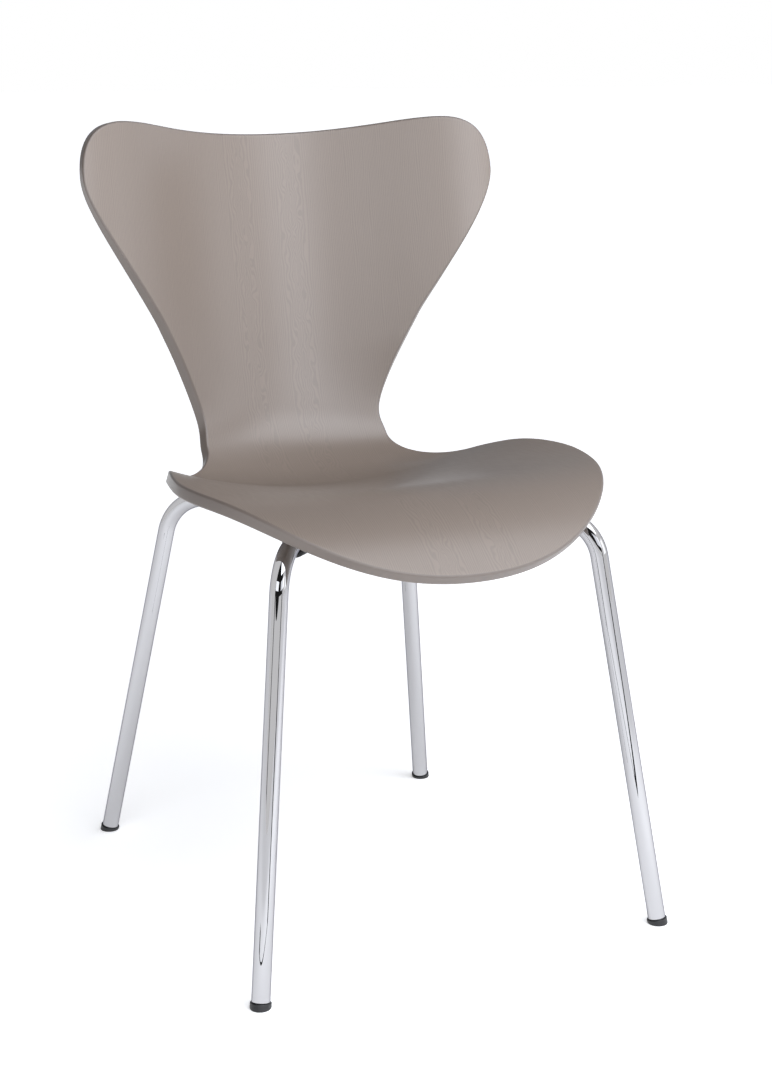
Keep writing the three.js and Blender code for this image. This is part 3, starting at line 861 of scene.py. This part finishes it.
MATERIALS = {
    "painted_plywood": painted_plywood(),
    "chromed_tube": chromed_tube(),
    "zinc_steel": plain_metal("zinc_steel", (0.5, 0.51, 0.53), 0.34),
    "insert_brass": plain_metal("insert_brass", (0.62, 0.42, 0.16), 0.3),
    "foot_plastic": moulded_black("foot_plastic", (0.008, 0.008, 0.009), 0.42, 1800.0, 0.00004),
    "cover_plastic": moulded_black("cover_plastic", (0.012, 0.012, 0.013), 0.5, 1500.0, 0.00006),
    "spacer_rubber": moulded_black("spacer_rubber", (0.014, 0.014, 0.014), 0.75, 1200.0, 0.00005),
}


# ---------------------------------------------------------------- the chair


def place_piece(piece, node, slot):
    """Gives a piece its material and slot, and lets it stand for its CAD node."""
    piece.data.materials.clear()
    piece.data.materials.append(MATERIALS[slot])
    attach(piece, BODY)
    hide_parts(node)


def build_shell():
    """The sheet, with a blind pocket for each insert."""
    shell = shell_object()
    radius, depth = POCKET["radius"], POCKET["depth"]
    pocket = [(0, -MM), (radius, -MM), (radius, depth), (0, depth)]
    cut(shell, [turned("pocket", pocket, at_hub(x, y), 48) for x, y in SCREW_PLACES.values()])
    soften(shell, 0)
    place_piece(shell, "plywood_shell", "painted_plywood")


def build_legs():
    routes = []
    for end, leg in LEGS.items():
        for hand, side in SIDES.items():
            route, axis = leg_route(leg, side, (CAP["height"] + 0.3) * MM)
            routes.append(route)
            place = f"{end}_{hand}"
            tube = tube_object(f"tube_{place}", route, axis)
            place_piece(tube, f"leg_tube_{place}", "chromed_tube")
            place_piece(cap_object(f"cap_{place}", leg, side), f"foot_cap_{place}", "foot_plastic")
            place_piece(spacer_object(f"bumper_{place}", route), f"spacer_{place}", "spacer_rubber")
    return routes


# In millimetres: the shank's radius, the head's radius and height, and the socket's radius.
SEAT_SCREW_SIZE = (2.7, 5.5, 3.6, 2.3)
COVER_SCREW_SIZE = (2.5, 5, 2.6, 2.1)


def build_hub(routes):
    place_piece(plate_object(), "mounting_plate", "zinc_steel")
    place_piece(hub_object(), "leg_hub", "zinc_steel")
    place_piece(cover_object(routes), "centre_cover", "cover_plastic")
    floor = COVER["floor"] * MM
    screw = screw_object("cover_screw_visual", at_hub(), COVER_SCREW_SIZE, floor - GAP, floor + 15 * MM)
    place_piece(screw, "cover_screw", "zinc_steel")
    seat = PLATE_BOTTOM - 1.2 * MM - 2 * GAP
    for where, (x, y) in SCREW_PLACES.items():
        place = at_hub(x, y)
        screw = screw_object(f"machine_screw_{where}", place, SEAT_SCREW_SIZE, seat, 7.5 * MM)
        place_piece(screw, f"seat_screw_{where}", "zinc_steel")
        place_piece(washer_object(f"flat_washer_{where}", place), f"washer_{where}", "zinc_steel")
        place_piece(insert_object(f"insert_{where}", place), f"threaded_insert_{where}", "insert_brass")


build_shell()
build_hub(build_legs())


# ---------------------------------------------------------------- floor and light


FLOOR = {"reach": 40.0, "albedo": 0.92, "near": 0.2, "near_glow": 0.46, "far": 1.2, "far_glow": 0.62}


def make_floor():
    """A wide white floor that glows a little, as a lit table does."""
    albedo, reach = FLOOR["albedo"], FLOOR["reach"]
    graph = Graph("studio_floor", Roughness=0.9, Base_Color=(albedo, albedo, albedo, 1))
    graph.set("Emission Color", (1, 1, 1, 1))
    away = graph.vector_math("LENGTH", graph.object_coordinates())
    glow = graph.ramp(away, FLOOR["near"], FLOOR["far"], FLOOR["near_glow"], FLOOR["far_glow"])
    graph.set("Emission Strength", glow)
    corners = [(-reach, -reach, 0), (reach, -reach, 0), (reach, reach, 0), (-reach, reach, 0)]
    floor = mesh_object("studio_floor", corners, [(0, 1, 2, 3)])
    floor.data.materials.append(graph.material)


# Broad soft light from the walls: azimuth, elevation and strength of each.
WALLS = [(0, 15, 2.75), (90, 15, 1.35), (180, 15, 0.33)]
WALL_FOCUS = 4
WALL_COLOUR = (1, 1.03, 1.1, 1)

# The unlit end of the room, as polished metal mirrors it: dark above a height, between two dark borders. The
# borders are cosines of the level angle from the middle of that end.
DARK_END = {"azimuth": VIEW["azimuth"], "inner": 0.799, "outer": 0.725, "height": 0.11, "glow": 0.02}


def make_world():
    """Plain white to the camera, a white room with an unlit end to polished metal, and the soft light of the
    walls to everything else."""
    world = bpy.data.worlds.new("studio")
    bpy.context.scene.world = world
    world.use_nodes = True
    sky = Nodes(world.node_tree)
    way = sky.node("TexCoord").outputs["Generated"]

    fill = 0.0
    for azimuth, elevation, strength in WALLS:
        facing = sky.vector_math("DOT_PRODUCT", way, direction(azimuth, elevation))
        lit = sky.math("POWER", sky.math("MAXIMUM", facing, 0.0), WALL_FOCUS)
        fill = sky.plus(fill, sky.times(lit, strength))

    level = sky.vector_math("NORMALIZE", sky.vector_math("MULTIPLY", way, (1, 1, 0)))
    facing = sky.vector_math("DOT_PRODUCT", level, direction(DARK_END["azimuth"], 0))
    height = sky.node("SeparateXYZ", Vector=way).outputs["Z"]
    within = sky.math("GREATER_THAN", facing, DARK_END["inner"])
    above = sky.math("GREATER_THAN", height, DARK_END["height"])
    beside = sky.math("LESS_THAN", facing, DARK_END["inner"])
    border = sky.times(sky.math("GREATER_THAN", facing, DARK_END["outer"]), beside)
    dark = sky.math("MAXIMUM", sky.times(within, above), border)
    mirrored = sky.math("SUBTRACT", 1 + DARK_END["glow"], dark)

    rays = sky.node("LightPath").outputs
    seen = sky.node("Background", Color=WALL_COLOUR, Strength=fill).outputs[0]
    for ray, strength in (("Is Singular Ray", mirrored), ("Is Camera Ray", 1.0)):
        shade = sky.node("Background", Color=(1, 1, 1, 1), Strength=strength).outputs[0]
        either = sky.node("MixShader", Fac=rays[ray])
        sky.feed(either.inputs[1], seen)
        sky.feed(either.inputs[2], shade)
        seen = either.outputs[0]
    sky.feed(sky.tree.nodes["World Output"].inputs["Surface"], seen)


# Painted shade that only reflections show: two dark strips lead away from the front right foot, and a third
# joins their near ends, standing for the shade at a floor edge. Distances from the foot in metres, and
# angles each side of the middle in degrees.
SHADE_STRIP = {"middle": VIEW["azimuth"], "opening": 40.5, "width": 9, "near": 0.6, "joint": 0.06, "height": 0.001}
SHADE_STRIP_ENDS = {-1: 1.1, 1: 38.0}
SHADE_STRIP_JOINT_STEPS = 8


def mirrored_shade_strips():
    """Dark matt strips of painted shade on the floor ahead of the front right leg, standing for the shade at
    a floor edge. They show only in reflections.
    """
    graph = Graph("mirrored_shade_strips", Specular_IOR_Level=0.0, Roughness=0.9, Base_Color=(0.01, 0.01, 0.012, 1))
    foot_x, foot_y = -LEGS["front"]["foot"][0] * MM, LEGS["front"]["foot"][1] * MM
    middle, opening, near, height = SHADE_STRIP["middle"], SHADE_STRIP["opening"], SHADE_STRIP["near"], SHADE_STRIP["height"]
    vertices, faces = [], []

    def patch(first, last, start, end):
        count = len(vertices)
        for azimuth, reach in ((first, start), (first, end), (last, end), (last, start)):
            around = math.radians(azimuth)
            vertices.append((foot_x + reach * math.sin(around), foot_y - reach * math.cos(around), height))
        faces.append([count, count + 1, count + 2, count + 3])

    for side, far in SHADE_STRIP_ENDS.items():
        inner = middle + side * (opening - SHADE_STRIP["width"] / 2)
        outer = middle + side * (opening + SHADE_STRIP["width"] / 2)
        patch(inner, outer, near, far)
    for i in range(SHADE_STRIP_JOINT_STEPS):
        first, last = (middle - opening + 2 * opening * k / SHADE_STRIP_JOINT_STEPS for k in (i, i + 1))
        patch(first, last, near, near + SHADE_STRIP["joint"])
    strips = mesh_object("mirrored_shade_strips", vertices, faces)
    strips.data.materials.append(graph.material)
    strips.visible_camera = strips.visible_diffuse = strips.visible_shadow = False


def area_light(name, place, target, size, power):
    """A soft rectangular light at a place, facing another."""
    place = Vector(place)
    data = bpy.data.lights.new(name, "AREA")
    data.shape = "RECTANGLE"
    data.size, data.size_y = size
    data.energy = power
    data.color = (0.97, 1, 1.05)
    light = bpy.data.objects.new(name, data)
    bpy.context.scene.collection.objects.link(light)
    light.location = place
    light.rotation_mode = "QUATERNION"
    light.rotation_quaternion = (place - Vector(target)).to_track_quat("Z", "Y")
    light.visible_camera = False


# Softboxes that stand round the chair: name, azimuth, elevation, size and power in watts.
SOFTBOXES = [
    ("front_softbox", 10, 20, (1.5, 0.8), 5),
    ("left_softbox", 312, 22, (1.4, 0.8), 7),
    ("right_softbox", 55, 12, (1.5, 0.9), 4.5),
]
CHAIR_MIDDLE = Vector((0, 0, 0.45))
SOFTBOX_DISTANCE = 2.6


make_floor()
make_world()
mirrored_shade_strips()
area_light("overhead_softbox", place=(0.45, -0.875, 1.65), target=(0.45, -0.865, 0),
           size=(1.7, 1.15), power=19)
for name, azimuth, elevation, size, power in SOFTBOXES:
    place = CHAIR_MIDDLE + direction(azimuth, elevation) * SOFTBOX_DISTANCE
    area_light(name, place, CHAIR_MIDDLE, size, power)

bpy.context.scene.view_settings.view_transform = "Standard"
